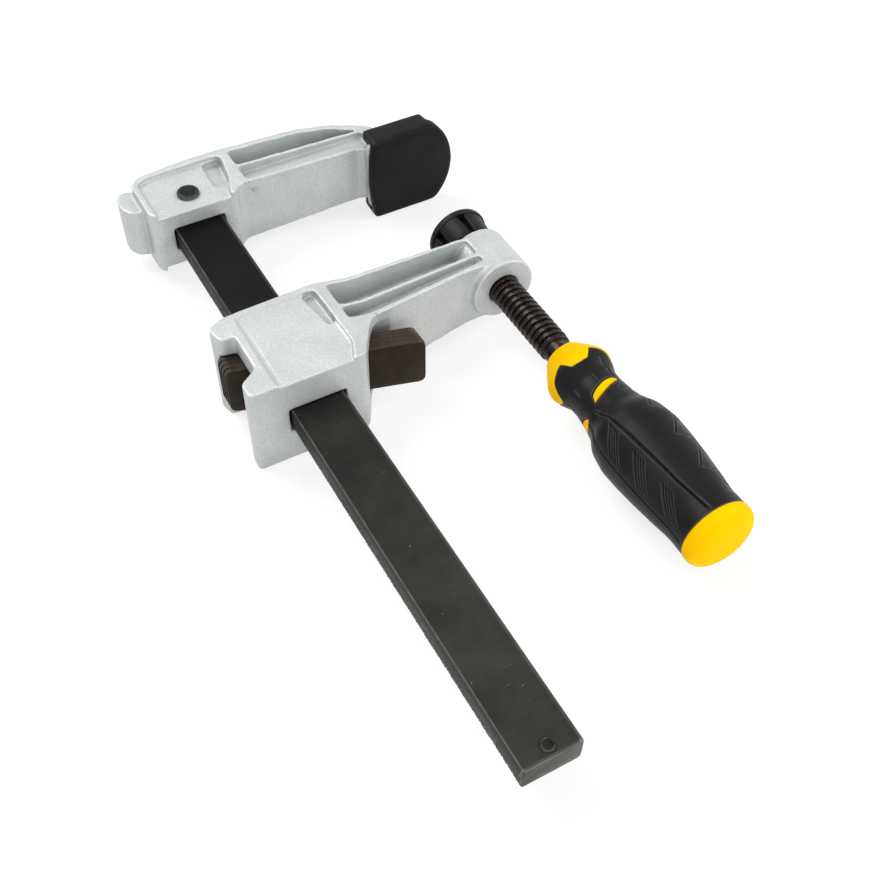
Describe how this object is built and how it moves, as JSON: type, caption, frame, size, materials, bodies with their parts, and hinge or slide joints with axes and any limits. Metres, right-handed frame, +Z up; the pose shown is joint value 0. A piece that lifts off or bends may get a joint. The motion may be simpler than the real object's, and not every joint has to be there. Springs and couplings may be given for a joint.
{
  "type": "quick release bar clamp",
  "caption": "Bar clamp with a fixed jaw, a sliding jaw gripped by tilting clutch plates, a screw spindle with a swivel pad, and a soft-grip handle.",
  "frame": {"origin": "centre of the fixed pad's clamping face, on the spindle axis", "axes": "+Y into the fixed jaw, along the bar; the bar's free end and the handle towards -Y; the bar on the -X side; +Z up, square to the plane of the bar's wide face"},
  "size_m": [0.2037, 0.4259, 0.056],
  "materials": {
    "bar_steel": "black oxide, lightly rubbed at the edges",
    "black_steel": "black oxide",
    "casting": "silver paint over a fine cast texture",
    "plate_steel": "brown-black oxide, satin",
    "screw_steel": "brown-black oxide, oiled",
    "bright_steel": "plain steel",
    "seat_brass": "plain brass",
    "black_plastic": "black moulded plastic, semi-matt",
    "yellow_plastic": "yellow moulded plastic, satin",
    "soft_grip": "black soft overmould, matt"
  },
  "bodies": {
    "frame": {"bar": "bar_steel", "stop_pin": "black_steel", "fixed_jaw": "casting", "jaw_rivet": "black_steel", "fixed_pad": "black_plastic"},
    "sliding_jaw": {"sliding_jaw": "casting", "clutch_spring": "bright_steel"},
    "clutch_pack": {"clutch_plate_1": "plate_steel", "clutch_plate_2": "plate_steel", "clutch_plate_3": "plate_steel", "clutch_plate_4": "plate_steel"},
    "thrust_seat": {"ball_seat": "seat_brass"},
    "spindle": {"spindle": "screw_steel", "handle_core": "yellow_plastic", "handle_pin": "bright_steel", "grip": "soft_grip", "end_cap": "yellow_plastic"},
    "swivel_pad": {"swivel_pad": "black_plastic", "swivel_socket": "bright_steel", "socket_ring": "bright_steel"}
  },
  "joints": [
    {"name": "jaw_slide", "type": "slide", "parent": "frame", "child": "sliding_jaw", "axis": [0, -1, 0], "range_m": [-0.021, 0.211]},
    {"name": "clutch_release", "type": "hinge", "parent": "sliding_jaw", "child": "clutch_pack", "pos_m": [-0.16305, -0.10799, 0], "axis": [0, 0, 1], "range_deg": [0, 4], "stiffness_Nm_per_rad": 6.5, "springref_deg": -11.46, "deforming": ["clutch_spring"]},
    {"name": "spindle_feed", "type": "slide", "parent": "sliding_jaw", "child": "thrust_seat", "axis": [0, 1, 0], "range_m": [0, 0.04]},
    {"name": "spindle_turn", "type": "hinge", "parent": "thrust_seat", "child": "spindle", "pos_m": [0, -0.0775, 0], "axis": [0, 1, 0], "range_deg": [0, 3600]},
    {"name": "pad_tilt", "type": "hinge", "parent": "thrust_seat", "child": "swivel_pad", "pos_m": [0, -0.0775, 0], "axis": [0, 0, 1], "range_deg": [-6, 6]}
  ],
  "couplings": [
    {"joint": "spindle_turn", "follows": "spindle_feed", "rad_per_m": 1570.8}
  ]
}
